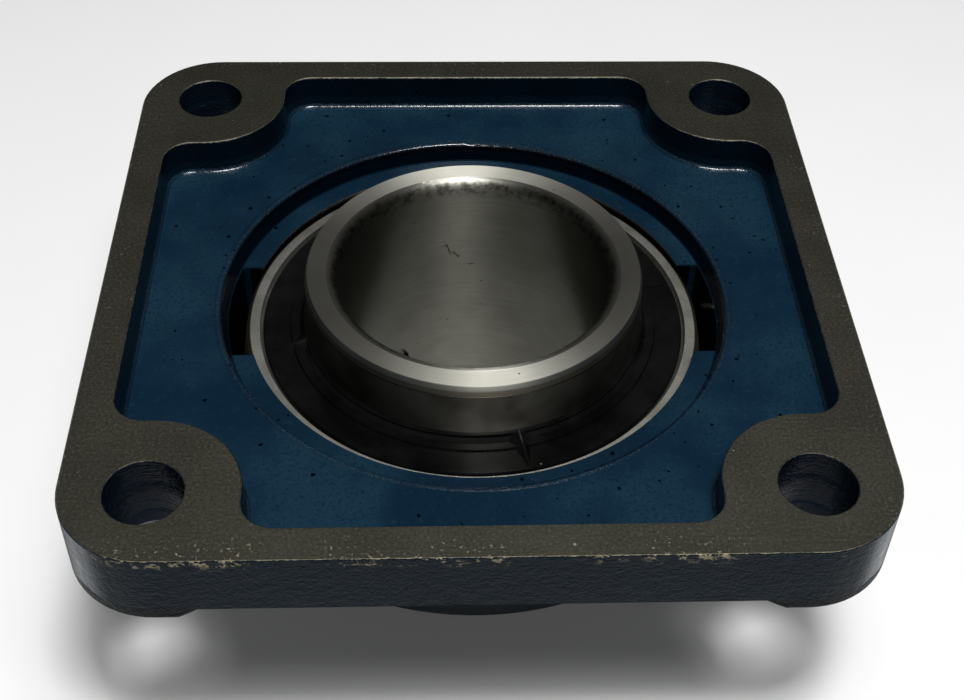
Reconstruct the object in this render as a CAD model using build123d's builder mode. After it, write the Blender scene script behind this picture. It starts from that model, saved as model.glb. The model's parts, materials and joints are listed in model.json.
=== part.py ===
"""Four-bolt square flange bearing unit: a cast housing with a spherical seat and an insert ball bearing.

Frame: millimetres. The origin is the centre of the bolt pattern on the machined mounting face.
+Z points out of the mounting face, towards the machine it is bolted to, so the hub's nose points to -Z.
"Rear" is the mounting side (+Z) and "front" is the nose side (-Z).
"""
import os
from math import cos, radians, sin, sqrt

from build123d import *

# ---------------------------------------------------------------- driving dimensions
# housing
flange_side = 200.0
flange_corner_r = 23.0
flange_thickness = 18.0
bolt_spacing = 159.0
bolt_hole_r = 9.5
boss_pad_r = 22.0
boss_pad_thickness = 22.0
pocket_side = 181.0
pocket_depth = 10.8
pocket_boss_r = 23.0
pocket_fillet_r = 8.0
counterbore_floor_r = 70.0
counterbore_ledge_r = 68.2
ledge_depth = 16.1
hub_depth = 56.0
hub_root_r = 82.0
hub_nose_r = 77.0
nose_fillet_r = 3.0
hub_root_fillet_r = 5.0
cast_edge_r = 1.5
floor_fillet_r = 1.5
counterbore_edge_r = 1.0
face_chamfer = 0.4
nose_relief = 1.5
slot_width = 36.0
slot_depth = 42.0

# insert bearing
bearing_centre_z = -34.0
sphere_r = 65.0
seat_gap = 0.1
outer_ring_width = 30.0
bore_r = 37.5
inner_ring_r = 46.5
inner_ring_length = 77.8
inner_ring_rear_z = -0.7
ball_r = 8.731
ball_count = 11
pitch_r = 51.5
race_gap = 0.1
groove_r = 9.05
shoulder_r = 57.3
seal_seat_r = 59.8
seal_seat_depth = 4.1
ring_chamfer = 0.8
bore_fillet_r = 2.7
rim_inset = 0.86
rim_length = 3.3
rim_relief = 0.12

# anti-rotation pin: its axis passes through the bearing centre, a little above the ring's equator
pin_azimuth = 12.0
pin_latitude = 4.0
pin_r = 1.5
pin_fit_gap = 0.05
pin_inner_r = 62.6
pin_outer_r = 67.4
pin_dome_r = 1.05

# set screws, through the long side of the inner ring
set_screw_azimuths = (128.0, 248.0)
set_screw_z = -66.5
set_screw_r = 5.0
set_screw_fit_gap = 0.05
set_screw_length = 9.5
set_screw_tip_r = 38.6
set_screw_hex_across = 5.0
set_screw_hex_depth = 5.0
set_screw_cup_r = 2.4
set_screw_cup_angle = 44.0
thread_pitch = 1.25
thread_depth = 0.6

# seals and flingers: distances are measured from the bearing centre along Z
seal_inner_face = 11.0
seal_outer_face = 13.2
seal_core_inner_face = 11.7
seal_core_outer_face = 12.5
seal_core_inner_r = 49.5
seal_rim_thickness = 0.8
seal_lip_r = 46.9
lip_inner_face = 11.1
lip_bevel = 0.5
lip_cover = 1.0
lip_overlap = 3.0
lip_rim_gap = 0.5
flinger_inner_face = 13.8
flinger_outer_face = 14.7
flinger_r = 58.8
flinger_collar_r = 47.6
flinger_collar_height = 2.3
flinger_collar_edge = 0.25
flinger_root_width = 1.0
flinger_root_height = 0.8
flinger_step_r = 51.0
flinger_step_height = 0.6
flinger_bend = 0.4
dart_azimuths = (13.0, 103.0, 193.0, 283.0)
dart_sink = 0.3
dart_crest_width = 0.5
# sections of a dart from its root to its tip: radius, width at the foot, height of the crest
dart_sections = ((46.9, 13.5, 2.45), (51.0, 5.0, 1.6), (57.3, 0.8, 0.15))

# cage
cage_inner_r = 48.4
cage_outer_r = 54.6
cage_sheet = 1.0
cage_pocket_r = 9.05
rivet_r = 1.1
rivet_head_r = 1.9
rivet_head_height = 0.8
rivet_head_fillet_r = 0.5

# grease nipple, screwed radially into the hub
nipple_azimuth = 90.0
nipple_z = -41.6
nipple_seat_y = 80.5
nipple_pad_r = 8.0
nipple_pad_depth = 11.5
nipple_thread_r = 3.0
nipple_hex_across = 8.0
nipple_hex_length = 4.0
nipple_neck_r = 2.2
nipple_shoulder_length = 1.5
nipple_neck_length = 1.5
nipple_flare_length = 1.2
nipple_head_r = 3.25
nipple_nose_length = 1.6
nipple_nose_r = 1.6
nipple_length = 11.0
nipple_thread_length = 8.0
nipple_tip_wall = 0.8
nipple_duct_r = 1.25
nipple_mouth_r = 0.8
check_ball_r = 1.05
check_ball_gap = 0.02
spring_wire_r = 0.16
spring_coil_r = 0.85
spring_turns = 7
spring_base_wall = 1.0
spring_end_gap = 0.05
grease_groove_offset = -7.6
grease_groove_width = 4.0
grease_groove_depth = 0.8
grease_hole_r = 1.0
grease_hole_azimuths = (45.0, 225.0)

os.makedirs("parts", exist_ok=True)


def save(piece, name):
    """Label a finished piece and write it as one STEP file named after its node."""
    piece.label = name
    export_step(piece, f"parts/{name}.step")


def radial_plane(azimuth, radius, z, latitude=0.0):
    """A plane facing outwards, at a radius from the point on the shaft axis at height z."""
    a = radians(azimuth)
    level = radians(latitude)
    outwards = Vector(cos(level) * cos(a), cos(level) * sin(a), sin(level))
    return Plane(
        origin=Vector(0, 0, z) + outwards * radius,
        x_dir=(-sin(a), cos(a), 0),
        z_dir=outwards,
    )


half_pattern = bolt_spacing / 2
groove_centre_in = pitch_r - ball_r - race_gap + groove_r
groove_centre_out = pitch_r + ball_r + race_gap - groove_r
ball_angle = 360 / ball_count
EPS = 0.5  # how far a cutting tool runs past the faces that it opens


# ---------------------------------------------------------------- housing
def pocket_outline():
    """The recess in the back: a square whose corners step in around the four bolt bosses."""
    half = pocket_side / 2
    reach = half_pattern - pocket_boss_r
    step = half - reach
    with BuildSketch(Plane.XY) as outline:
        Rectangle(pocket_side, pocket_side)
        with GridLocations(pocket_side - step, pocket_side - step, 2, 2):
            Rectangle(step, step, mode=Mode.SUBTRACT)
        rim_corners = outline.vertices().filter_by(lambda v: max(abs(v.X), abs(v.Y)) > half - EPS)
        fillet(rim_corners, radius=pocket_fillet_r)
        boss_corners = outline.vertices().filter_by(lambda v: max(abs(v.X), abs(v.Y)) < reach + EPS)
        fillet(boss_corners, radius=pocket_boss_r)
    return outline.sketch


with BuildPart() as housing:
    # flange plate and the thicker round pads under the bolt heads
    with BuildSketch(Plane.XY) as plate:
        RectangleRounded(flange_side, flange_side, flange_corner_r)
    extrude(amount=-flange_thickness)
    with BuildSketch(Plane.XY) as pads:
        with GridLocations(bolt_spacing, bolt_spacing, 2, 2):
            Circle(boss_pad_r)
        RectangleRounded(flange_side, flange_side, flange_corner_r, mode=Mode.INTERSECT)
    extrude(amount=-boss_pad_thickness)

    # hub, drafted towards the nose
    with BuildSketch(Plane.XZ) as hub_section:
        with BuildLine():
            Polyline(
                (0, -flange_thickness / 2),
                (hub_root_r, -flange_thickness / 2),
                (hub_root_r, -flange_thickness),
                (hub_nose_r, -hub_depth),
                (0, -hub_depth),
                close=True,
            )
        make_face()
    revolve(axis=Axis.Z)

    # flat pad for the grease nipple
    with BuildSketch(radial_plane(nipple_azimuth, nipple_seat_y, nipple_z)) as nipple_pad:
        Circle(nipple_pad_r)
    extrude(amount=-nipple_pad_depth)

    # cast edges: rounded nose, hub root, boss pads and their roots
    arcs = housing.edges().filter_by(GeomType.CIRCLE)
    fillet(arcs.sort_by(Axis.Z)[0], radius=nose_fillet_r)
    at_flange = arcs.filter_by_position(Axis.Z, -flange_thickness - EPS, -flange_thickness + EPS)
    fillet(at_flange.filter_by(lambda e: abs(e.radius - hub_root_r) < EPS), radius=hub_root_fillet_r)
    fillet(at_flange.filter_by(lambda e: abs(e.radius - boss_pad_r) < EPS), radius=cast_edge_r)
    pad_faces = housing.faces().filter_by(Plane.XY)
    pad_faces = pad_faces.filter_by_position(Axis.Z, -boss_pad_thickness - EPS, -boss_pad_thickness + EPS)
    fillet(pad_faces.edges(), radius=cast_edge_r)

    # recess in the back, with a rounded floor
    add(extrude(pocket_outline(), amount=-pocket_depth), mode=Mode.SUBTRACT)
    floor = housing.faces().filter_by(Plane.XY)
    floor = floor.filter_by_position(Axis.Z, -pocket_depth - EPS, -pocket_depth + EPS)
    fillet(floor.edges(), radius=floor_fillet_r)

    # counterbore, spherical seat, nose relief and filling slots
    with BuildSketch(Plane.XZ) as seat_section:
        mouth_half = -ledge_depth - bearing_centre_z
        seat_r = sphere_r + seat_gap
        mouth_r = sqrt(seat_r**2 - mouth_half**2)
        with BuildLine():
            Polyline(
                (0, EPS),
                (counterbore_floor_r, EPS),
                (counterbore_floor_r, -pocket_depth),
                (counterbore_ledge_r, -ledge_depth),
                (mouth_r, -ledge_depth),
            )
            RadiusArc(
                (mouth_r, -ledge_depth),
                (mouth_r, bearing_centre_z - mouth_half),
                seat_r,
            )
            Polyline(
                (mouth_r, bearing_centre_z - mouth_half),
                (mouth_r, -hub_depth + nose_relief),
                (mouth_r + nose_relief, -hub_depth),
                (mouth_r + nose_relief, -hub_depth - EPS),
                (0, -hub_depth - EPS),
                (0, EPS),
            )
        make_face()
    revolve(axis=Axis.Z, mode=Mode.SUBTRACT)
    with BuildSketch(Plane.XY.offset(-ledge_depth + EPS)) as slots:
        Rectangle(2 * counterbore_floor_r, slot_width)
        Circle(counterbore_ledge_r, mode=Mode.INTERSECT)
    extrude(amount=-(slot_depth - ledge_depth + EPS), mode=Mode.SUBTRACT)

    counterbore_edge = housing.edges().filter_by(GeomType.CIRCLE)
    counterbore_edge = counterbore_edge.filter_by(lambda e: abs(e.radius - counterbore_floor_r) < EPS)
    fillet(counterbore_edge, radius=counterbore_edge_r)

    # bolt holes, then the broken edge all round the machined face
    with GridLocations(bolt_spacing, bolt_spacing, 2, 2):
        Hole(bolt_hole_r)
    chamfer(housing.faces().sort_by(Axis.Z)[-1].edges(), length=face_chamfer)

    # grease duct from the nipple into the seat
    with BuildSketch(radial_plane(nipple_azimuth, nipple_seat_y, nipple_z)) as duct:
        Circle(nipple_thread_r)
    extrude(amount=-(nipple_seat_y - shoulder_r), mode=Mode.SUBTRACT)
save(housing.part, "housing")


# ---------------------------------------------------------------- outer ring
with BuildPart() as outer_ring:
    top = bearing_centre_z + outer_ring_width / 2
    bottom = bearing_centre_z - outer_ring_width / 2
    face_r = sqrt(sphere_r**2 - (outer_ring_width / 2) ** 2)
    outer_groove_half = sqrt(groove_r**2 - (shoulder_r - groove_centre_out) ** 2)
    with BuildSketch(Plane.XZ) as outer_section:
        with BuildLine():
            ThreePointArc((face_r, top), (sphere_r, bearing_centre_z), (face_r, bottom))
            Polyline(
                (face_r, bottom),
                (seal_seat_r, bottom),
                (seal_seat_r, bottom + seal_seat_depth),
                (shoulder_r, bottom + seal_seat_depth),
                (shoulder_r, bearing_centre_z - outer_groove_half),
            )
            ThreePointArc(
                (shoulder_r, bearing_centre_z - outer_groove_half),
                (groove_centre_out + groove_r, bearing_centre_z),
                (shoulder_r, bearing_centre_z + outer_groove_half),
            )
            Polyline(
                (shoulder_r, bearing_centre_z + outer_groove_half),
                (shoulder_r, top - seal_seat_depth),
                (seal_seat_r, top - seal_seat_depth),
                (seal_seat_r, top),
                (face_r, top),
            )
        make_face()
    revolve(axis=Axis.Z)
    face_edges = outer_ring.edges().filter_by(GeomType.CIRCLE)
    chamfer([e for e in face_edges if abs(e.radius - face_r) < EPS], length=ring_chamfer)
    # grease groove around the sphere, and the two holes that lead from it to the balls
    with BuildSketch(Plane.XY.offset(bearing_centre_z + grease_groove_offset - grease_groove_width / 2)):
        Circle(sphere_r + EPS)
        Circle(sqrt(sphere_r**2 - grease_groove_offset**2) - grease_groove_depth, mode=Mode.SUBTRACT)
    extrude(amount=grease_groove_width, mode=Mode.SUBTRACT)
    for azimuth in grease_hole_azimuths:
        with BuildSketch(radial_plane(azimuth, shoulder_r - EPS, bearing_centre_z + grease_groove_offset)):
            Circle(grease_hole_r)
        extrude(amount=sphere_r - shoulder_r + EPS, mode=Mode.SUBTRACT)
    # blind hole for the anti-rotation pin
    with BuildSketch(radial_plane(pin_azimuth, pin_inner_r - pin_fit_gap, bearing_centre_z, pin_latitude)):
        Circle(pin_r + pin_fit_gap)
    extrude(amount=sphere_r - pin_inner_r + EPS, mode=Mode.SUBTRACT)
save(outer_ring.part, "outer_ring")

with BuildPart() as anti_rotation_pin:
    with BuildSketch(radial_plane(pin_azimuth, pin_inner_r, bearing_centre_z, pin_latitude)):
        Circle(pin_r)
    extrude(amount=pin_outer_r - pin_inner_r)
    pin_edges = anti_rotation_pin.edges().filter_by(GeomType.CIRCLE)
    fillet(pin_edges.sort_by_distance((0, 0, bearing_centre_z))[-1], radius=pin_dome_r)
save(anti_rotation_pin.part, "anti_rotation_pin")


# ---------------------------------------------------------------- inner ring and set screws
with BuildPart() as inner_ring:
    ring_front_z = inner_ring_rear_z - inner_ring_length
    inner_groove_half = sqrt(groove_r**2 - (groove_centre_in - inner_ring_r) ** 2)
    rim_arc_r = (rim_length**2 + rim_inset**2) / (2 * rim_inset)
    rear_rim_end = (inner_ring_r - rim_relief, inner_ring_rear_z - rim_length)
    front_rim_end = (inner_ring_r - rim_relief, ring_front_z + rim_length)
    with BuildSketch(Plane.XZ) as inner_section:
        with BuildLine():
            # each rim is turned back by a long shallow arc, a touch below the ground cylinder
            RadiusArc(rear_rim_end, (inner_ring_r - rim_inset, inner_ring_rear_z), -rim_arc_r)
            Polyline(
                (inner_ring_r - rim_inset, inner_ring_rear_z),
                (bore_r, inner_ring_rear_z),
                (bore_r, ring_front_z),
                (inner_ring_r - rim_inset, ring_front_z),
            )
            RadiusArc((inner_ring_r - rim_inset, ring_front_z), front_rim_end, -rim_arc_r)
            Polyline(
                front_rim_end,
                (inner_ring_r, ring_front_z + rim_length),
                (inner_ring_r, bearing_centre_z - inner_groove_half),
            )
            Polyline(
                (inner_ring_r, bearing_centre_z + inner_groove_half),
                (inner_ring_r, inner_ring_rear_z - rim_length),
                rear_rim_end,
            )
            ThreePointArc(
                (inner_ring_r, bearing_centre_z - inner_groove_half),
                (groove_centre_in - groove_r, bearing_centre_z),
                (inner_ring_r, bearing_centre_z + inner_groove_half),
            )
        make_face()
    revolve(axis=Axis.Z)
    end_edges = inner_ring.edges().filter_by(GeomType.CIRCLE)
    fillet([e for e in end_edges if abs(e.radius - bore_r) < EPS], radius=bore_fillet_r)
    for azimuth in set_screw_azimuths:
        with BuildSketch(radial_plane(azimuth, bore_r - 2 * EPS, set_screw_z)):
            Circle(set_screw_r + set_screw_fit_gap)
        extrude(amount=inner_ring_r - bore_r + 3 * EPS, mode=Mode.SUBTRACT)
save(inner_ring.part, "inner_ring")

for number, azimuth in enumerate(set_screw_azimuths, start=1):
    with BuildPart() as set_screw:
        tip = radial_plane(azimuth, set_screw_tip_r, set_screw_z)
        head = radial_plane(azimuth, set_screw_tip_r + set_screw_length, set_screw_z)
        with BuildSketch(tip):
            Circle(set_screw_r)
        extrude(amount=set_screw_length)
        chamfer(set_screw.edges().filter_by(GeomType.CIRCLE), length=thread_depth)
        # thread, drawn as plain grooves one pitch apart
        groove_count = int(set_screw_length / thread_pitch) - 1
        for turn in range(groove_count):
            start = (turn + 1) * thread_pitch
            with BuildSketch(tip.offset(start)):
                Circle(set_screw_r + EPS)
                Circle(set_screw_r - thread_depth, mode=Mode.SUBTRACT)
            extrude(amount=thread_pitch / 3, mode=Mode.SUBTRACT)
        # hexagon socket and cup point
        with BuildSketch(head):
            RegularPolygon(set_screw_hex_across / 2, 6, major_radius=False)
        extrude(amount=-set_screw_hex_depth, mode=Mode.SUBTRACT)
        with BuildSketch(tip):
            Circle(set_screw_cup_r)
        extrude(amount=set_screw_cup_r, taper=set_screw_cup_angle, mode=Mode.SUBTRACT)
    save(set_screw.part, f"set_screw_{number}")


# ---------------------------------------------------------------- balls and cage
for index in range(ball_count):
    with BuildPart() as ball:
        place = Vector(pitch_r, 0, bearing_centre_z).rotate(Axis.Z, index * ball_angle)
        with Locations(place):
            Sphere(ball_r)
    save(ball.part, f"ball_{index + 1:02d}")

for name, side in (("rear", 1), ("front", -1)):
    centre_plane = Plane.XY.offset(bearing_centre_z)
    with BuildPart() as cage_half:
        # pockets are shells around the balls, trimmed to a band
        with Locations((0, 0, bearing_centre_z)):
            with PolarLocations(pitch_r, ball_count):
                Sphere(cage_pocket_r + cage_sheet)
        with BuildSketch(centre_plane) as band:
            Circle(cage_outer_r)
            Circle(cage_inner_r, mode=Mode.SUBTRACT)
        extrude(amount=side * 2 * cage_pocket_r, mode=Mode.INTERSECT)
        add(extrude(band.sketch, amount=side * cage_sheet))
        with Locations((0, 0, bearing_centre_z)):
            with PolarLocations(pitch_r, ball_count):
                Sphere(cage_pocket_r, mode=Mode.SUBTRACT)
            with PolarLocations(pitch_r, ball_count, start_angle=ball_angle / 2):
                Cylinder(rivet_r, 4 * cage_sheet, mode=Mode.SUBTRACT)
    save(cage_half.part, f"cage_{name}")

with BuildPart() as cage_rivets:
    with Locations((0, 0, bearing_centre_z)):
        with PolarLocations(pitch_r, ball_count, start_angle=ball_angle / 2):
            Cylinder(rivet_r, 2 * cage_sheet + 2 * rivet_head_height)
    for side in (1, -1):
        with Locations((0, 0, bearing_centre_z + side * (cage_sheet + rivet_head_height / 2))):
            with PolarLocations(pitch_r, ball_count, start_angle=ball_angle / 2):
                Cylinder(rivet_head_r, rivet_head_height)
    tops = cage_rivets.edges().filter_by(GeomType.CIRCLE).group_by(Axis.Z)
    fillet(tops[0] + tops[-1], radius=rivet_head_fillet_r)
save(cage_rivets.part, "cage_rivets")


# ---------------------------------------------------------------- seals and flingers
def ring_from_section(points, side):
    """Revolve a closed outline given as (radius, distance from the bearing centre towards one side)."""
    with BuildPart() as ring:
        with BuildSketch(Plane.XZ):
            with BuildLine():
                Polyline(*[(r, bearing_centre_z + side * t) for r, t in points], close=True)
            make_face()
        revolve(axis=Axis.Z)
    return ring.part


for name, side in (("rear", 1), ("front", -1)):
    # steel core: a disc with its rim turned inwards, held in the outer ring's seat
    core_outline = [
        (seal_core_inner_r, seal_core_inner_face),
        (seal_seat_r - seal_rim_thickness, seal_core_inner_face),
        (seal_seat_r - seal_rim_thickness, seal_inner_face),
        (seal_seat_r, seal_inner_face),
        (seal_seat_r, seal_core_outer_face),
        (seal_core_inner_r, seal_core_outer_face),
    ]
    save(ring_from_section(core_outline, side), f"seal_core_{name}")

    # rubber lip, moulded around the core's inner edge and thinning towards the inner ring
    lip_outline = [
        (seal_lip_r, seal_outer_face - lip_bevel),
        (seal_core_inner_r - lip_cover, lip_inner_face),
        (seal_core_inner_r + lip_overlap, lip_inner_face),
        (seal_core_inner_r + lip_overlap, seal_core_inner_face),
        (seal_core_inner_r, seal_core_inner_face),
        (seal_core_inner_r, seal_core_outer_face),
        (seal_seat_r - lip_rim_gap, seal_core_outer_face),
        (seal_seat_r - lip_rim_gap, seal_outer_face),
        (seal_lip_r + lip_bevel, seal_outer_face),
    ]
    save(ring_from_section(lip_outline, side), f"seal_lip_{name}")

    # flinger: a pressed disc with a collar on the inner ring, a step and four darts
    flinger_outline = [
        (inner_ring_r, flinger_inner_face),
        (flinger_r, flinger_inner_face),
        (flinger_r, flinger_outer_face - flinger_bend),
        (flinger_r - flinger_bend, flinger_outer_face),
        (flinger_step_r + flinger_bend, flinger_outer_face),
        (flinger_step_r, flinger_outer_face + flinger_step_height),
        (flinger_collar_r + flinger_root_width, flinger_outer_face + flinger_step_height),
        (flinger_collar_r, flinger_outer_face + flinger_step_height + flinger_root_height),
        (flinger_collar_r, flinger_outer_face + flinger_collar_height - flinger_collar_edge),
        (flinger_collar_r - flinger_collar_edge, flinger_outer_face + flinger_collar_height),
        (inner_ring_r, flinger_outer_face + flinger_collar_height),
    ]
    with BuildPart() as flinger:
        add(ring_from_section(flinger_outline, side))
        root_t = side * (flinger_outer_face - dart_sink)
        half_crest = dart_crest_width / 2
        for azimuth in dart_azimuths:
            for section_r, foot_width, crest_height in dart_sections:
                crest_t = side * (flinger_outer_face + crest_height)
                with BuildSketch(radial_plane(azimuth, section_r, bearing_centre_z)):
                    with BuildLine():
                        Polyline(
                            (-foot_width / 2, root_t),
                            (foot_width / 2, root_t),
                            (half_crest, crest_t),
                            (-half_crest, crest_t),
                            close=True,
                        )
                    make_face()
            loft(ruled=True)
        with BuildSketch(Plane.XY.offset(bearing_centre_z)):
            Circle(inner_ring_r)
        extrude(amount=side * 2 * flinger_outer_face, mode=Mode.SUBTRACT)
    save(flinger.part, f"flinger_{name}")


# ---------------------------------------------------------------- grease nipple
nipple_axis = Axis((0, 0, nipple_z), (0, 1, 0))
nipple_tip_y = nipple_seat_y + nipple_length
ball_stop_y = nipple_tip_y - nipple_tip_wall
ball_y = ball_stop_y - sqrt(check_ball_r**2 - nipple_mouth_r**2) - check_ball_gap
spring_base_y = nipple_seat_y - nipple_thread_length + spring_base_wall
neck_y = nipple_seat_y + nipple_hex_length + nipple_shoulder_length
head_y = neck_y + nipple_neck_length + nipple_flare_length

with BuildPart() as grease_nipple:
    with BuildSketch(Plane.YZ) as nipple_section:
        with BuildLine():
            Polyline(
                (nipple_seat_y - nipple_thread_length, nipple_z),
                (nipple_seat_y - nipple_thread_length, nipple_z + nipple_thread_r),
                (nipple_seat_y + nipple_hex_length, nipple_z + nipple_thread_r),
                (neck_y, nipple_z + nipple_neck_r),
                (neck_y + nipple_neck_length, nipple_z + nipple_neck_r),
                (head_y, nipple_z + nipple_head_r),
                (nipple_tip_y - nipple_nose_length, nipple_z + nipple_head_r),
                (nipple_tip_y, nipple_z + nipple_nose_r),
                (nipple_tip_y, nipple_z),
                close=True,
            )
        make_face()
    revolve(axis=nipple_axis)
    with BuildSketch(radial_plane(nipple_azimuth, nipple_seat_y, nipple_z)):
        RegularPolygon(nipple_hex_across / 2, 6, major_radius=False)
    extrude(amount=nipple_hex_length)
    with BuildSketch(radial_plane(nipple_azimuth, spring_base_y, nipple_z)):
        Circle(nipple_duct_r)
    extrude(amount=ball_stop_y - spring_base_y, mode=Mode.SUBTRACT)
    with BuildSketch(radial_plane(nipple_azimuth, nipple_seat_y - nipple_thread_length, nipple_z)):
        Circle(nipple_mouth_r)
    extrude(amount=nipple_length + nipple_thread_length, mode=Mode.SUBTRACT)
save(grease_nipple.part, "grease_nipple")

with BuildPart() as nipple_check_ball:
    with Locations((0, ball_y, nipple_z)):
        Sphere(check_ball_r)
save(nipple_check_ball.part, "nipple_check_ball")

with BuildPart() as nipple_spring:
    spring_end_y = ball_y - check_ball_r - spring_wire_r
    coil_start = spring_base_y + spring_wire_r + spring_end_gap
    coil_height = spring_end_y - coil_start
    with BuildLine() as coil:
        Helix(coil_height / spring_turns, coil_height, spring_coil_r, center=(0, coil_start, nipple_z),
              direction=(0, 1, 0))
    with BuildSketch(Plane(origin=coil.line @ 0, z_dir=coil.line % 0)):
        Circle(spring_wire_r)
    sweep(is_frenet=True)
save(nipple_spring.part, "nipple_spring")
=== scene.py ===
"""Looks for the flange mount bearing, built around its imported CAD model. Units are metres."""

import json
from math import cos, hypot, radians, sin
from types import SimpleNamespace

import bpy
from mathutils import Matrix, Vector

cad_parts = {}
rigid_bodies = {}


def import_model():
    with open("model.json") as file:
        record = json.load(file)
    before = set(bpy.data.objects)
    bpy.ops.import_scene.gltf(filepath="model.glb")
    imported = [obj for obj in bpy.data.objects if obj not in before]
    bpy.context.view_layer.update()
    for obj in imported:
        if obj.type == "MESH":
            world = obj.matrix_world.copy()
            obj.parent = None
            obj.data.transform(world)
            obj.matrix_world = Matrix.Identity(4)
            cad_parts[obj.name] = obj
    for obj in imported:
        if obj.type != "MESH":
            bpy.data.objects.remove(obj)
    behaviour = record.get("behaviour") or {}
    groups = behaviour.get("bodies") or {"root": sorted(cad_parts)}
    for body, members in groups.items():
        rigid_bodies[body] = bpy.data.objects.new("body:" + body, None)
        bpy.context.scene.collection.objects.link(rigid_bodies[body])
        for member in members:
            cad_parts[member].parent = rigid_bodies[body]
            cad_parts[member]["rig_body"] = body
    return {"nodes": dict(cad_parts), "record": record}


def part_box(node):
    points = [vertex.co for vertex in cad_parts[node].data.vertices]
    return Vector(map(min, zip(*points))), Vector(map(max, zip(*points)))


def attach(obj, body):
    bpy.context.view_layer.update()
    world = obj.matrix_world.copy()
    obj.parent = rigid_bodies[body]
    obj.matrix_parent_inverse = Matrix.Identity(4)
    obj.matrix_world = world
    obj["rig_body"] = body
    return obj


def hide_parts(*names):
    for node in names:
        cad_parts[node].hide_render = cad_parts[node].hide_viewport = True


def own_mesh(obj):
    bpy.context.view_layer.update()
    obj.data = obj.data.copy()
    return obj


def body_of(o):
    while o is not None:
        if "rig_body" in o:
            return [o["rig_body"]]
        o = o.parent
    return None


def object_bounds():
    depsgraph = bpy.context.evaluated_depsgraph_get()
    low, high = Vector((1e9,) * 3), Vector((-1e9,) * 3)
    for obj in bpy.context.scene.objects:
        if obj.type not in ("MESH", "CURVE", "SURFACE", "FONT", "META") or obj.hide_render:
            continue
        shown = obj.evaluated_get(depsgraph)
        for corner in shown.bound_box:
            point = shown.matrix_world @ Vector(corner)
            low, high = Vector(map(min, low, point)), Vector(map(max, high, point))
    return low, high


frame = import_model()
cad_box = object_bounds()
nodes = frame["nodes"]

MM = 0.001


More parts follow.
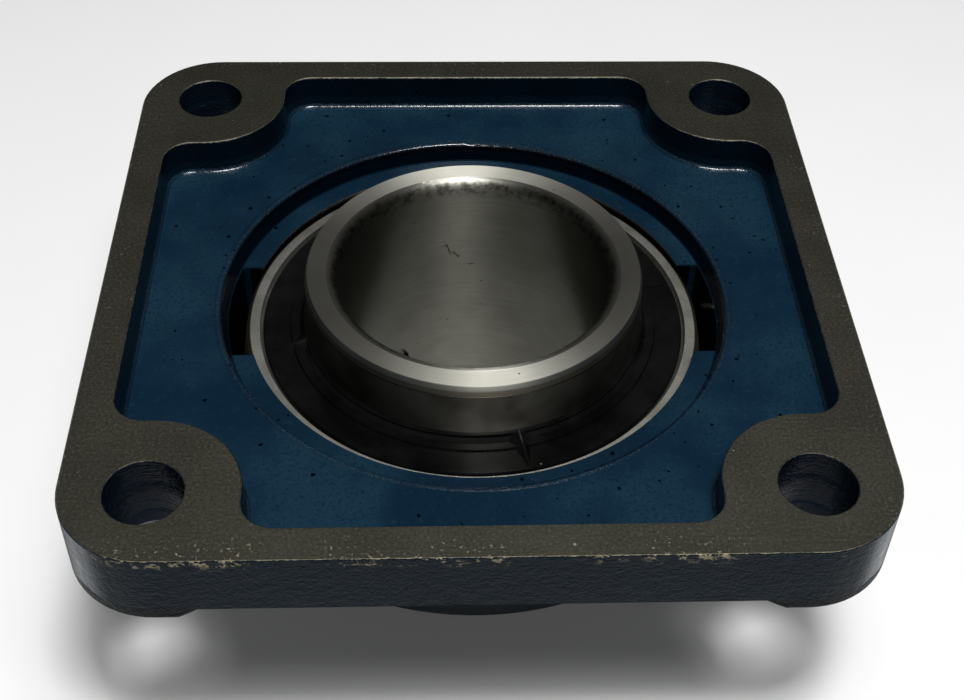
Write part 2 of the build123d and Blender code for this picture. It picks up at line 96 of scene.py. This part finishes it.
# ------------------------------------------------------- node graph helper
class Graph:
    """One node material, written with short calls. Patterns are measured in mm of the CAD frame.

    A mask is a value from 0 to 1 over the surface.
    """

    def __init__(self, name):
        self.material = bpy.data.materials.new(name)
        self.material.use_nodes = True
        self.tree = self.material.node_tree
        self.tree.nodes.clear()
        self.output = self.tree.nodes.new("ShaderNodeOutputMaterial")
        coordinate = self.tree.nodes.new("ShaderNodeTexCoord").outputs["Object"]
        self.mm = self.vector("SCALE", coordinate, scale=1 / MM)
        split = self.tree.nodes.new("ShaderNodeSeparateXYZ")
        self.tree.links.new(self.mm, split.inputs[0])
        self.x, self.y, self.z = split.outputs

    def feed(self, socket, value):
        """Link a socket, or set a constant on it."""
        if isinstance(value, bpy.types.NodeSocket):
            self.tree.links.new(value, socket)
        elif value is not None:
            socket.default_value = value

    def vector(self, operation, a, b=None, scale=None):
        node = self.tree.nodes.new("ShaderNodeVectorMath")
        node.operation = operation
        self.feed(node.inputs[0], a)
        self.feed(node.inputs[1], b)
        if scale is not None:
            node.inputs["Scale"].default_value = scale
        return node.outputs[0]

    def math(self, operation, a, b=None, c=None):
        node = self.tree.nodes.new("ShaderNodeMath")
        node.operation = operation
        for socket, value in zip(node.inputs, (a, b, c)):
            self.feed(socket, value)
        return node.outputs[0]

    def combine(self, x, y, z):
        node = self.tree.nodes.new("ShaderNodeCombineXYZ")
        for socket, value in zip(node.inputs, (x, y, z)):
            self.feed(socket, value)
        return node.outputs[0]

    def dot(self, a, b, u, v):
        """a * u + b * v"""
        return self.math("ADD", self.math("MULTIPLY", a, u), self.math("MULTIPLY", b, v))

    def polar(self):
        """Radius from the shaft axis in mm, and the angle around it in radians."""
        square = self.dot(self.x, self.y, self.x, self.y)
        return self.math("SQRT", square), self.math("ARCTAN2", self.y, self.x)

    def noise(self, size, detail, roughness, at=None, stretch=None):
        """Noise from 0 to 1 whose blobs are about size mm across."""
        where = self.mm if at is None else at
        if stretch is not None:
            where = self.vector("MULTIPLY", where, stretch)
        node = self.tree.nodes.new("ShaderNodeTexNoise")
        self.feed(node.inputs["Vector"], where)
        node.inputs["Scale"].default_value = 1 / size
        node.inputs["Detail"].default_value = detail
        node.inputs["Roughness"].default_value = roughness
        return node.outputs["Fac"]

    def step(self, value, low, high):
        """0 below low, 1 above high, smooth between; low may be above high."""
        node = self.tree.nodes.new("ShaderNodeMapRange")
        node.interpolation_type = "SMOOTHSTEP"
        self.feed(node.inputs["Value"], value)
        self.feed(node.inputs["From Min"], low)
        self.feed(node.inputs["From Max"], high)
        return node.outputs["Result"]

    def patches(self, low, high, *pattern, **options):
        """A mask of the places where a noise rises from low to high."""
        return self.step(self.noise(*pattern, **options), low, high)

    def span(self, value, low, high):
        """A 0..1 value mapped to low..high."""
        return self.math("MULTIPLY_ADD", value, high - low, low)

    def cells(self, size, at):
        """Distance to the nearest of points about size mm apart, and that point's colour.

        The distance is a share of size.
        """
        node = self.tree.nodes.new("ShaderNodeTexVoronoi")
        self.feed(node.inputs["Vector"], at)
        node.inputs["Scale"].default_value = 1 / size
        return node.outputs["Distance"], node.outputs["Color"]

    def specks(self, size, share, radius, ragged=0.0):
        """Small specks, 1 inside: share is the part of the cells, size mm apart, that has one."""
        where = self.mm
        if ragged:
            wander = self.tree.nodes.new("ShaderNodeTexNoise")
            self.feed(wander.inputs["Vector"], self.mm)
            wander.inputs["Scale"].default_value = 1.2
            moved = self.vector("SCALE", wander.outputs["Color"], scale=ragged)
            where = self.vector("ADD", self.mm, moved)
        distance, colour = self.cells(size, where)
        split = self.tree.nodes.new("ShaderNodeSeparateColor")
        self.tree.links.new(colour, split.inputs[0])
        chosen = self.math("LESS_THAN", split.outputs[0], share)
        reach = self.math("MULTIPLY", split.outputs[1], radius / size)
        return self.both(chosen, self.math("LESS_THAN", distance, reach))

    def stroke(self, across, up, start, end, width):
        """A wavering scratch from start to end, 1 inside. Places are (across, up), all in mm."""
        run = (end[0] - start[0], end[1] - start[1])
        length = hypot(*run)
        ahead = (run[0] / length, run[1] / length)
        off_x = self.math("SUBTRACT", across, start[0])
        off_y = self.math("SUBTRACT", up, start[1])
        along = self.dot(off_x, off_y, *ahead)
        aside = self.dot(off_x, off_y, ahead[1], -ahead[0])
        waver = self.span(self.noise(1.3, 3, 0.6), -0.8, 0.8)
        away = self.math("ABSOLUTE", self.math("ADD", aside, waver))
        near = self.step(away, width, 0.6 * width)
        started = self.math("GREATER_THAN", along, 0.0)
        return self.both(near, self.both(started, self.math("LESS_THAN", along, length)))

    def both(self, first, *others):
        """Masks, or a mask and a share, multiplied."""
        for other in others:
            first = self.math("MULTIPLY", first, other)
        return first

    def either(self, first, *others):
        for other in others:
            first = self.math("MAXIMUM", first, other)
        return first

    def outside_of(self, mask):
        return self.math("SUBTRACT", 1.0, mask)

    def mix(self, mask, a, b):
        """A colour: a where the mask is 0, b where it is 1."""
        node = self.tree.nodes.new("ShaderNodeMix")
        node.data_type = "RGBA"
        self.feed(node.inputs[0], mask)
        self.feed(node.inputs[6], (*a, 1) if isinstance(a, tuple) else a)
        self.feed(node.inputs[7], (*b, 1) if isinstance(b, tuple) else b)
        return node.outputs[2]

    def mix_numbers(self, mask, a, b):
        node = self.tree.nodes.new("ShaderNodeMix")
        self.feed(node.inputs[0], mask)
        self.feed(node.inputs[2], a)
        self.feed(node.inputs[3], b)
        return node.outputs[0]

    def mix_vectors(self, mask, a, b):
        node = self.tree.nodes.new("ShaderNodeMix")
        node.data_type = "VECTOR"
        self.feed(node.inputs[0], mask)
        self.feed(node.inputs[4], a)
        self.feed(node.inputs[5], b)
        return node.outputs[1]

    def bump(self, height, depth, normal=None):
        """Bump of height 0..1 over depth mm."""
        node = self.tree.nodes.new("ShaderNodeBump")
        node.inputs["Strength"].default_value = 1.0
        node.inputs["Distance"].default_value = depth * MM
        self.feed(node.inputs["Height"], height)
        self.feed(node.inputs["Normal"], normal)
        return node.outputs[0]

    def surface(self, colour, roughness, metallic=0.0, normal=None, **constants):
        """Link the Principled shader and return it; the constants are set on its own sockets."""
        shader = self.tree.nodes.new("ShaderNodeBsdfPrincipled")
        self.feed(shader.inputs["Base Color"], colour)
        self.feed(shader.inputs["Roughness"], roughness)
        self.feed(shader.inputs["Metallic"], metallic)
        self.feed(shader.inputs["Normal"], normal)
        for name, value in constants.items():
            shader.inputs[name.replace("_", " ")].default_value = value
        self.tree.links.new(shader.outputs[0], self.output.inputs[0])
        return shader


# ------------------------------------------------------- places that the patterns need, in mm
def top_corner(name):
    """The upper corner of a CAD node's box."""
    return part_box(name)[1] / MM


mounts = {m["name"]: m for m in frame["record"]["mounts"]}
bore_r = mounts["shaft_bore"]["dims"]["r_mm"]
ring_r = top_corner("inner_ring").x
ring_top = top_corner("inner_ring").z
flange_half = top_corner("housing").x
face_z = top_corner("housing").z
flange_under_z = -18.0
pocket_z = -10.8
ledge_z = -16.1
counterbore_r = 70.0
seat_r = 66.5
slot_half = 18.0
hole_place = 79.5
hole_r = 9.5
rim_length = 3.3
fillet_r = 2.7
sphere_edge_r = 62.4


# ------------------------------------------------------- painted housing
PAINT = (0.0078, 0.0268, 0.0460)
PAINT_DEEP = (0.0030, 0.0140, 0.0290)
RECESS_PAINTED_SHADE = (0.0004, 0.0022, 0.0055)
SIDE_PAINTED_SHADE = (0.0022, 0.0068, 0.0110)
UNDERSIDE_PAINTED_SHADE = (0.0012, 0.0030, 0.0042)
HOLE_PAINTED_SHADE = (0.0030, 0.0075, 0.0145)
PAINT_DUSTY = (0.0170, 0.0420, 0.0600)
SEAT_PAINTED_SHADE = (0.0012, 0.0013, 0.0013)
PIT = (0.0005, 0.0010, 0.0018)
DUST = (0.25, 0.27, 0.28)
IRON = (0.082, 0.080, 0.062)
IRON_DARK = (0.042, 0.041, 0.033)
IRON_PALE = (0.210, 0.200, 0.155)
CHIP = (0.420, 0.375, 0.250)
CHIP_DARK = (0.150, 0.128, 0.078)


def housing_masks(g):
    """Masks of the housing's surfaces, and half the side of the centred square through a point."""
    radius, _ = g.polar()
    across = g.math("ABSOLUTE", g.x)
    along = g.math("ABSOLUTE", g.y)
    square = g.math("MAXIMUM", across, along)
    inside_rim = g.step(square, flange_half - 5, flange_half - 9)
    # the machined mounting face, with a ragged border of paint on its broken edges
    border = g.span(g.noise(1.6, 4, 0.65), face_z - 0.42, face_z + 0.02)
    bare = g.step(g.math("SUBTRACT", g.z, border), -0.04, 0.04)
    # the flange's sides and the hub: rough sand casting under the paint, and darker blue there as
    # painted shade
    outside = g.step(square, flange_half - 6, flange_half - 2)
    below = g.both(g.step(g.z, flange_under_z + 1, flange_under_z - 1),
                   g.step(radius, counterbore_r, counterbore_r + 2))
    from_hole = g.math("SQRT", g.math("ADD",
                                      g.math("POWER", g.math("SUBTRACT", across, hole_place), 2.0),
                                      g.math("POWER", g.math("SUBTRACT", along, hole_place), 2.0)))
    drilled = g.step(from_hole, hole_r + 0.7, hole_r + 0.2)
    # the walls of the pocket and of the counterbore, and the ledge between it and the seat
    wall = g.both(g.step(g.z, pocket_z + 0.3, pocket_z + 1.6), inside_rim)
    bored = g.both(g.step(radius, counterbore_r + 0.9, counterbore_r - 0.2),
                   g.step(g.z, pocket_z + 0.2, pocket_z - 0.8))
    ledge = g.step(g.z, ledge_z + 0.7, ledge_z + 0.1)
    # the seat with its filling slots
    slot = g.both(g.step(along, slot_half + 0.3, slot_half - 0.3),
                  g.step(g.z, ledge_z - 0.3, ledge_z - 1.0),
                  g.step(across, counterbore_r + 0.6, counterbore_r + 0.2))
    seat = g.both(g.step(radius, seat_r + 0.3, seat_r - 0.3),
                  g.step(g.z, ledge_z - 0.3, ledge_z - 0.7))
    # the cove round the pocket's floor and the lip of the counterbore, where the paint is thick
    cove = g.both(g.step(g.z, pocket_z + 0.05, pocket_z + 0.4),
                  g.step(g.z, pocket_z + 4.0, pocket_z + 1.5))
    lip = g.both(g.step(radius, counterbore_r + 1.8, counterbore_r + 0.9),
                 g.step(g.z, pocket_z - 2.0, pocket_z - 0.8))
    # the flange's sides wear in places, most of all in front
    front = g.step(g.y, -flange_half + 25, -flange_half + 5)
    worn = g.both(g.patches(0.46, 0.56, 15, 2, 0.5), g.span(front, 0.45, 1.0))
    return SimpleNamespace(
        square=square, bare=bare, outside=outside, below=below, drilled=drilled, wall=wall,
        bored=bored, ledge=ledge, seat=g.either(seat, slot), worn=worn,
        rough_cast=g.both(g.either(outside, below), g.outside_of(bare)),
        thick=g.both(g.either(cove, lip), inside_rim))


def paint_colour(g, at, pits):
    """Blue paint with its tones, pits, dust and the cream chips of its edges, and painted shade on
    its walls, sides, underside, holes and seat.
    """
    colour = g.mix(g.patches(0.35, 0.65, 34, 3, 0.5), PAINT_DEEP, PAINT)
    colour = g.mix(g.both(g.patches(0.52, 0.8, 2.2, 5, 0.7), 0.45), colour, PAINT_DUSTY)
    colour = g.mix(g.both(g.patches(0.50, 0.64, 1.0, 4, 0.65), 0.75), colour, PAINT_DEEP)
    # painted shade: the walls of the pocket and of the counterbore get a near-black blue, less of
    # it down at the ledge
    colour = g.mix(g.both(at.wall, 0.85), colour, RECESS_PAINTED_SHADE)
    colour = g.mix(g.both(at.bored, g.span(at.ledge, 1.0, 0.1)), colour, RECESS_PAINTED_SHADE)
    # painted shade: the flange's sides get a darker blue
    colour = g.mix(g.both(at.outside, 0.85), colour, SIDE_PAINTED_SHADE)
    # painted shade: the flange's underside and the hub get a near-black blue
    colour = g.mix(g.both(at.below, 0.9), colour, UNDERSIDE_PAINTED_SHADE)
    colour = g.mix(pits, colour, PIT)
    colour = g.mix(g.specks(11.0, 0.14, 0.42), colour, DUST)
    # painted shade: the walls of the bolt holes get a darker blue
    colour = g.mix(at.drilled, colour, HOLE_PAINTED_SHADE)
    # painted shade: the seat and its filling slots are coloured near black
    colour = g.mix(at.seat, colour, SEAT_PAINTED_SHADE)
    chips = g.both(g.patches(0.555, 0.58, 2.6, 5, 0.75, stretch=(1.0, 1.0, 1.6)),
                   g.step(g.z, face_z - 4.2, face_z - 0.6), at.outside, at.worn)
    return g.mix(chips, colour, g.mix(g.noise(0.7, 3, 0.6), CHIP_DARK, CHIP))


def bare_iron_colour(g, at, grain):
    """Grey iron with pale and dark grain, faint milling lines and a scuffed, burred edge."""
    milled = g.patches(0.45, 0.75, 0.8, 2, 0.5, stretch=(0.04, 1.0, 1.0))
    iron = g.mix(g.patches(0.3, 0.7, 22, 3, 0.5), g.mix(0.5, IRON_DARK, IRON), IRON)
    iron = g.mix(g.both(g.step(grain, 0.55, 0.35), 0.60), iron, IRON_DARK)
    iron = g.mix(g.both(g.step(grain, 0.52, 0.75), 0.40), iron, IRON_PALE)
    iron = g.mix(g.both(milled, 0.05), iron, IRON_PALE)
    iron = g.mix(g.specks(4.0, 0.20, 0.42), iron, CHIP)
    iron = g.mix(g.specks(6.0, 0.20, 0.60), iron, IRON_DARK)
    scuffs = g.both(g.patches(0.60, 0.63, 1.5, 5, 0.75),
                    g.step(at.square, flange_half - 9, flange_half - 1), at.worn)
    iron = g.mix(scuffs, iron, CHIP)
    burr = g.both(g.step(g.z, face_z - 0.05, face_z - 0.2),
                  g.span(g.patches(0.35, 0.6, 2.2, 3, 0.6), 0.30, 1.0))
    rim_edge = g.step(at.square, flange_half - 4, flange_half - 1)
    return g.mix(g.both(burr, g.span(rim_edge, 0.40, 1.0)), iron, CHIP)


def paint_film_normal(g, at, pits):
    """Lumps of the paint film, of the casting under it and of its thick runs, pits, drill lines."""
    lumps = g.noise(2.4, 3, 0.6, stretch=(0.8, 0.8, 1.3))
    cast = g.dot(lumps, g.noise(0.9, 3, 0.6), 0.55, 0.45)
    drill_lines = g.noise(0.7, 2, 0.6, stretch=(0.12, 0.12, 1.0))
    film = g.bump(g.noise(1.5, 3, 0.6), 0.22)
    film = g.bump(g.both(cast, at.rough_cast), 0.9, film)
    film = g.bump(g.both(g.noise(1.1, 3, 0.6), at.thick), 0.75, film)
    film = g.bump(g.outside_of(pits), 0.18, film)
    return g.bump(g.both(drill_lines, at.drilled), 0.25, film)


def housing_material():
    """Painted cast iron with a bare mounting face. Only the smooth paint has a gloss coat."""
    g = Graph("cast_iron_painted")
    at = housing_masks(g)
    pits = g.specks(2.6, 0.26, 0.62, ragged=0.9)
    grain = g.noise(0.75, 4, 0.7)
    colour = g.mix(at.bare, paint_colour(g, at, pits), bare_iron_colour(g, at, grain))
    painted = g.mix_numbers(at.rough_cast, g.span(g.noise(5, 3, 0.5), 0.16, 0.30), 0.42)
    roughness = g.mix_numbers(at.bare, painted, g.span(grain, 0.40, 0.60))
    normal = g.mix_vectors(at.bare, paint_film_normal(g, at, pits), g.bump(grain, 0.018))
    shader = g.surface(colour, roughness, g.both(at.bare, 0.85), normal,
                       Specular_IOR_Level=0.06, Coat_Roughness=0.13)
    uncoated = g.either(at.bare, at.seat, at.outside, at.below, at.drilled)
    coat = g.both(g.span(at.thick, 0.22, 0.9), g.outside_of(uncoated))
    g.feed(shader.inputs["Coat Weight"], coat)
    g.feed(shader.inputs["Coat Normal"], g.bump(g.noise(1.3, 3, 0.6), 0.09))
    return g.material


# ------------------------------------------------------- steel rings
STEEL = (0.50, 0.49, 0.43)
STEEL_PALE = (0.62, 0.61, 0.55)
STEEL_LINE = (0.24, 0.225, 0.18)
STEEL_END = (0.30, 0.295, 0.26)
SHADED_BORE_STEEL = (0.120, 0.118, 0.100)
SHADED_BORE_STEEL_PALE = (0.155, 0.153, 0.130)
BORE_LINE = (0.07, 0.068, 0.055)
SHADED_SIDE_STEEL = (0.10, 0.095, 0.078)
SHADED_SIDE_STEEL_PALE = (0.22, 0.215, 0.19)
RIM_BROWN = (0.05, 0.040, 0.025)
RIM_PALE = (0.34, 0.29, 0.20)
RIM_PAINTED_SHADOW = (0.02, 0.017, 0.012)
GRIME = (0.028, 0.025, 0.018)
RUST = (0.05, 0.045, 0.035)
NICK = (0.030, 0.024, 0.012)
RACE_PALE = (0.72, 0.71, 0.64)
RACE_LINE = (0.30, 0.29, 0.24)
RACE_BROWN = (0.10, 0.085, 0.055)
FLINGER_BLACK = (0.0012, 0.0013, 0.0013)
FLINGER_WORN = (0.0042, 0.0045, 0.0043)
FLINGER_SPECK = (0.08, 0.08, 0.07)


def on_wall(degrees, z):
    """A place on the bore's wall: mm round it, and height."""
    return radians(degrees) * bore_r, z


# scratches in the bore: start, end and width in mm
BORE_MARKS = (
    (on_wall(100.5, -23.5), on_wall(98.8, -27.8), 0.34),
    (on_wall(98.0, -27.2), on_wall(94.6, -29.2), 0.38),
    (on_wall(103, -24.4), on_wall(99.5, -24.0), 0.16),
    (on_wall(90.0, -32.4), on_wall(87.4, -31.6), 0.24),
)


def ground_steel_material():
    """The inner ring: turned and ground, so its highlights spread across the fine lines."""
    g = Graph("ground_steel")
    radius, angle = g.polar()
    around = g.combine(g.both(angle, 40.0), radius, g.z)
    lines = g.noise(1.0, 3, 0.6, around, (0.05, 7.0, 7.0))
    stain = g.noise(17, 3, 0.5)
    stained = g.step(stain, 0.3, 0.7)
    rim_end = ring_top - rim_length
    fillet_end = bore_r + fillet_r
    in_bore = g.step(radius, fillet_end, bore_r + 0.2)
    on_end = g.both(g.step(g.z, ring_top - 0.3, ring_top - 0.1),
                    g.step(radius, ring_r - 0.6, ring_r - 1.0),
                    g.step(radius, fillet_end - 0.1, fillet_end + 0.2))
    on_side = g.both(g.step(radius, ring_r - 0.3, ring_r - 0.1),
                     g.step(g.z, rim_end, rim_end - 0.5))
    colour = g.mix(stained, STEEL, STEEL_PALE)
    colour = g.mix(g.both(g.step(lines, 0.48, 0.72), 0.35), colour, STEEL_LINE)
    colour = g.mix(g.both(on_end, 0.45), colour, STEEL_END)
    # painted shade: the bore is coloured much darker steel than the rest of the ring
    colour = g.mix(in_bore, colour, g.mix(stained, SHADED_BORE_STEEL, SHADED_BORE_STEEL_PALE))
    colour = g.mix(g.both(in_bore, g.step(lines, 0.45, 0.7), 0.4), colour, BORE_LINE)
    # painted shade: the ring's outside below the rim gets darker steel
    side = g.mix(g.step(stain, 0.35, 0.65), SHADED_SIDE_STEEL, SHADED_SIDE_STEEL_PALE)
    colour = g.mix(on_side, colour, side)
    # a turned rim that the grinding has not reached, with a painted shadow line under it
    rim = g.both(g.step(radius, ring_r - 1.1, ring_r - 0.8),
                 g.step(g.z, ring_top - 1.2, ring_top - 1.9),
                 g.step(g.z, rim_end - 0.1, rim_end + 0.1))
    rim_steel = g.mix(g.noise(0.7, 4, 0.7), RIM_BROWN, RIM_PALE)
    colour = g.mix(g.both(rim, 0.75), colour, rim_steel)
    under = g.math("ABSOLUTE", g.math("SUBTRACT", g.z, rim_end - 0.1))
    under = g.both(g.step(under, 0.35, 0.12), g.step(radius, ring_r - 0.4, ring_r - 0.2))
    colour = g.mix(g.both(under, 0.8), colour, RIM_PAINTED_SHADOW)
    grime = g.both(in_bore,
                   g.step(g.z, ring_top - fillet_r - 3.0, ring_top - fillet_r - 0.3),
                   g.patches(0.44, 0.62, 2.4, 5, 0.7))
    colour = g.mix(g.both(grime, 0.8), colour, GRIME)
    # rust spots and nicks
    colour = g.mix(g.specks(3.4, 0.16, 0.30), colour, RUST)
    nick = g.both(g.patches(0.66, 0.70, 2.2, 5, 0.75), g.patches(0.52, 0.60, 15, 2, 0.5))
    for mark in BORE_MARKS:
        nick = g.either(nick, g.both(g.stroke(g.both(angle, bore_r), g.z, *mark), in_bore))
    colour = g.mix(g.both(nick, 0.8), colour, NICK)
    roughness = g.span(lines, 0.26, 0.38)
    roughness = g.mix_numbers(on_end, roughness, g.span(lines, 0.70, 0.80))
    roughness = g.mix_numbers(in_bore, roughness, g.span(lines, 0.42, 0.47))
    shader = g.surface(colour, roughness, 1.0, g.bump(lines, 0.006),
                       Anisotropic=0.93, Anisotropic_Rotation=0.25)
    tangent = g.tree.nodes.new("ShaderNodeTangent")
    tangent.direction_type = "RADIAL"
    tangent.axis = "Z"
    g.feed(shader.inputs["Tangent"], tangent.outputs[0])
    return g.material


def bearing_steel_material():
    """The outer ring: a pale face with fine lines across it, browned where its sphere shows."""
    g = Graph("bearing_steel")
    radius, angle = g.polar()
    across = g.combine(g.both(angle, 60.0), g.both(radius, 0.35), g.z)
    lines = g.noise(0.45, 2, 0.5, across)
    colour = g.mix(g.patches(0.3, 0.7, 8, 4, 0.6), STEEL, RACE_PALE)
    colour = g.mix(g.both(g.step(lines, 0.45, 0.7), 0.5), colour, RACE_LINE)
    sphere = g.step(radius, sphere_edge_r - 0.2, sphere_edge_r + 0.4)
    colour = g.mix(g.both(sphere, 0.9), colour, RACE_BROWN)
    g.surface(colour, g.span(lines, 0.36, 0.50), 1.0, g.bump(lines, 0.006))
    return g.material


def black_flinger_material():
    """Blackened pressed steel with turned lines and a few pale specks."""
    g = Graph("black_pressed_steel")
    radius, angle = g.polar()
    around = g.combine(g.both(angle, 40.0), radius, g.z)
    lines = g.noise(1.0, 3, 0.6, around, (0.06, 3.0, 3.0))
    cloud = g.noise(12, 4, 0.6)
    colour = g.mix(g.step(cloud, 0.3, 0.75), FLINGER_BLACK, FLINGER_WORN)
    colour = g.mix(g.specks(5.0, 0.20, 0.32), colour, FLINGER_SPECK)
    normal = g.bump(g.noise(1.1, 3, 0.5), 0.014, g.bump(lines, 0.006))
    g.surface(colour, g.span(cloud, 0.12, 0.20), 0.0, normal, Specular_IOR_Level=0.40)
    return g.material


# ------------------------------------------------------- small parts
def metal(name, dark, pale, grain, roughness):
    """A bare or plated metal with cloudy colour and fine grain, its size in mm."""
    g = Graph(name)
    cloud = g.noise(6, 4, 0.6)
    fine = g.noise(grain, 3, 0.6)
    colour = g.mix(g.step(cloud, 0.3, 0.7), dark, pale)
    colour = g.mix(g.both(g.step(fine, 0.5, 0.8), 0.3), colour, dark)
    g.surface(colour, g.span(fine, *roughness), 1.0, g.bump(fine, 0.004))
    return g.material


def coated(name, dark, pale, grain, roughness, depth):
    """A dark coating or moulded rubber with fine grain, its size and depth in mm."""
    g = Graph(name)
    cloud = g.noise(7, 4, 0.6)
    fine = g.noise(grain, 3, 0.6)
    colour = g.mix(g.step(cloud, 0.3, 0.7), dark, pale)
    g.surface(colour, g.span(fine, *roughness), 0.0, g.bump(fine, depth))
    return g.material


def dress(material, *names):
    """Give CAD nodes this material in every slot."""
    for name in names:
        mesh = nodes[name].data
        if not mesh.materials:
            mesh.materials.append(material)
        for index in range(len(mesh.materials)):
            mesh.materials[index] = material


dress(housing_material(), "housing")
dress(ground_steel_material(), "inner_ring")
dress(bearing_steel_material(), "outer_ring")
dress(black_flinger_material(), "flinger_rear", "flinger_front")
dress(metal("polished_ball", dark=(0.55, 0.55, 0.55), pale=(0.68, 0.68, 0.68),
            grain=0.8, roughness=(0.05, 0.10)),
      "nipple_check_ball", *[n for n in nodes if n.startswith("ball_")])
dress(metal("cage_sheet", dark=(0.26, 0.25, 0.23), pale=(0.40, 0.39, 0.36),
            grain=0.7, roughness=(0.28, 0.42)),
      "cage_rear", "cage_front", "cage_rivets")
dress(metal("dark_pin", dark=(0.10, 0.10, 0.09), pale=(0.17, 0.17, 0.15),
            grain=0.4, roughness=(0.12, 0.22)),
      "anti_rotation_pin")
dress(metal("zinc_plate", dark=(0.45, 0.43, 0.36), pale=(0.66, 0.64, 0.56),
            grain=0.5, roughness=(0.24, 0.38)),
      "grease_nipple")
dress(metal("spring_wire", dark=(0.22, 0.22, 0.22), pale=(0.38, 0.38, 0.38),
            grain=0.3, roughness=(0.25, 0.35)),
      "nipple_spring")
dress(coated("black_oxide", dark=(0.010, 0.010, 0.012), pale=(0.024, 0.024, 0.027),
             grain=0.4, roughness=(0.32, 0.48), depth=0.01),
      "set_screw_1", "set_screw_2")
dress(coated("phosphated_core", dark=(0.018, 0.018, 0.018), pale=(0.040, 0.040, 0.038),
             grain=0.6, roughness=(0.45, 0.6), depth=0.01),
      "seal_core_rear", "seal_core_front")
dress(coated("nitrile_rubber", dark=(0.008, 0.008, 0.008), pale=(0.018, 0.018, 0.018),
             grain=0.5, roughness=(0.5, 0.7), depth=0.02),
      "seal_lip_rear", "seal_lip_front")


# ------------------------------------------------------- the nipple's spring, as a piece of its own
def make_check_spring():
    """The nipple's spring, copied from its CAD node onto the same body. The real one shortens as
    its ball is pushed in; the copy keeps its shape.
    """
    solid = nodes["nipple_spring"]
    piece = bpy.data.objects.new("check_spring", solid.data.copy())
    bpy.context.scene.collection.objects.link(piece)
    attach(piece, body_of(solid)[0])
    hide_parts("nipple_spring")
    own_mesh(piece)


make_check_spring()


# ------------------------------------------------------- floor, light and camera
FLOOR_HALF = 4.0
FLOOR_WHITE = (0.90, 0.90, 0.90)
FLOOR_CLOUD = tuple(0.97 * c for c in FLOOR_WHITE)
FLOOR_GLOW = 0.05


def floor_material():
    """A pale matt finish, faintly clouded; the glow keeps the soft shadows light."""
    g = Graph("pale_floor")
    shade = g.mix(g.noise(40, 2, 0.5), FLOOR_CLOUD, FLOOR_WHITE)
    g.surface(shade, 0.7, Emission_Color=(1, 1, 1, 1), Emission_Strength=FLOOR_GLOW)
    return g.material


def make_floor():
    level = cad_box[0][2]
    mesh = bpy.data.meshes.new("floor")
    corners = [(x * FLOOR_HALF, y * FLOOR_HALF, level)
               for x, y in ((-1, -1), (1, -1), (1, 1), (-1, 1))]
    mesh.from_pydata(corners, [], [(0, 1, 2, 3)])
    floor = bpy.data.objects.new("floor", mesh)
    bpy.context.scene.collection.objects.link(floor)
    mesh.materials.append(floor_material())


def make_softbox(name, place, side, power):
    """A square area light, side metres wide, aimed at the middle of the mounting face."""
    lamp = bpy.data.lights.new(name, "AREA")
    lamp.shape = "SQUARE"
    lamp.size = side
    lamp.energy = power
    box = bpy.data.objects.new(name, lamp)
    box.location = place
    box.rotation_euler = (-Vector(place)).to_track_quat("-Z", "Y").to_euler()
    bpy.context.scene.collection.objects.link(box)


def make_camera():
    """The photograph's viewing angle: just left of the front, 44 degrees up, slightly rolled."""
    azimuth, elevation, roll = radians(-2.969), radians(44.141), radians(1.564)
    distance = 0.380812
    target = Vector((0.001168, -0.03131, 0.0))
    back = Vector((sin(azimuth) * cos(elevation), -cos(azimuth) * cos(elevation), sin(elevation)))
    right = Vector((cos(azimuth), sin(azimuth), 0.0))
    up = back.cross(right)
    rolled_right = right * cos(roll) + up * sin(roll)
    rolled_up = up * cos(roll) - right * sin(roll)
    camera = bpy.data.objects.new("camera", bpy.data.cameras.new("camera"))
    turn = Matrix((rolled_right, rolled_up, back)).transposed().to_4x4()
    camera.matrix_world = Matrix.Translation(target + back * distance) @ turn
    camera.data.sensor_width = 36.0
    camera.data.lens = 55.02
    camera.data.shift_y = -0.0055
    camera.data.clip_start = 0.01
    camera.data.clip_end = 50.0
    bpy.context.scene.collection.objects.link(camera)
    bpy.context.scene.camera = camera


def make_world(strength):
    """A weak, even white sky."""
    world = bpy.data.worlds.new("studio")
    world.use_nodes = True
    background = world.node_tree.nodes["Background"]
    background.inputs["Color"].default_value = (1.0, 1.0, 1.0, 1)
    background.inputs["Strength"].default_value = strength
    bpy.context.scene.world = world


make_floor()
make_world(strength=0.05)
make_softbox("key", place=(0.13, -0.31, 1.26), side=0.6, power=10.5)
make_softbox("spark", place=(0.11, -0.30, 1.20), side=0.24, power=9.0)
make_camera()
bpy.context.scene.view_settings.view_transform = "Standard"
